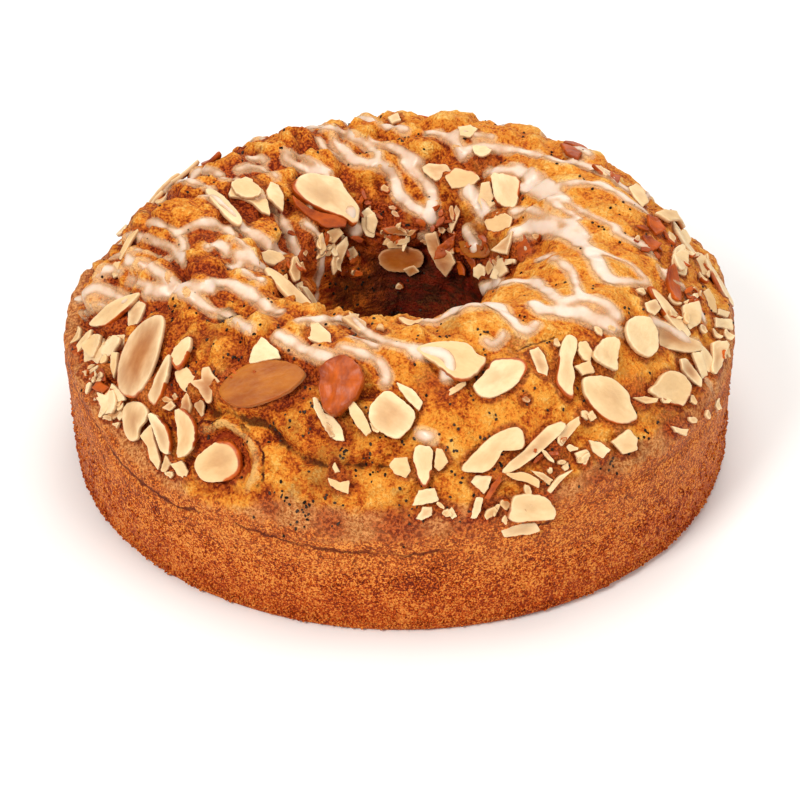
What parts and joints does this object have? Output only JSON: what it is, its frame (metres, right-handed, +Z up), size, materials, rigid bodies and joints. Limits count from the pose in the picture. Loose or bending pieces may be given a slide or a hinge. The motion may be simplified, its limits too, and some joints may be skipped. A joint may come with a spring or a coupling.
{
  "type": "ring cake",
  "caption": "Baked ring-shaped almond pudding cake with a lumpy golden crown, toasted almond slices and drizzled icing; rests on its flat base.",
  "frame": {"origin": "centre of the ring's flat base", "axes": "+Z up along the ring's axis; the side the picture was taken from is -Y"},
  "size_m": [0.1954, 0.1951, 0.0741],
  "materials": {
    "crust": "browned, crumbly baked crust with thin sugar icing and poppy seeds",
    "almond": "cream sliced almond, lightly toasted, brown skin on some edges"
  },
  "bodies": {
    "root": {"cake": "crust", "almond_slice_01": "almond", "almond_slice_02": "almond", "almond_slice_03": "almond", "almond_slice_04": "almond", "almond_slice_05": "almond", "almond_slice_06": "almond", "almond_slice_07": "almond", "almond_slice_08": "almond", "almond_slice_09": "almond", "almond_slice_10": "almond", "almond_slice_11": "almond", "almond_slice_12": "almond", "almond_slice_13": "almond", "almond_slice_14": "almond", "almond_slice_15": "almond", "almond_slice_16": "almond", "almond_slice_17": "almond", "almond_slice_18": "almond", "almond_slice_19": "almond", "almond_slice_20": "almond", "almond_slice_21": "almond", "almond_slice_22": "almond", "almond_slice_23": "almond", "almond_slice_24": "almond", "almond_slice_25": "almond", "almond_slice_26": "almond", "almond_slice_27": "almond", "almond_slice_28": "almond", "almond_slice_29": "almond", "almond_slice_30": "almond", "almond_slice_31": "almond", "almond_slice_32": "almond", "almond_slice_33": "almond", "almond_slice_34": "almond", "almond_slice_35": "almond", "almond_slice_36": "almond", "almond_slice_37": "almond", "almond_slice_38": "almond", "almond_slice_39": "almond", "almond_slice_40": "almond", "almond_slice_41": "almond", "almond_slice_42": "almond", "almond_slice_43": "almond", "almond_slice_44": "almond", "almond_slice_45": "almond", "almond_slice_46": "almond", "almond_slice_47": "almond", "almond_slice_48": "almond", "almond_slice_49": "almond", "almond_slice_50": "almond"}
  },
  "joints": []
}
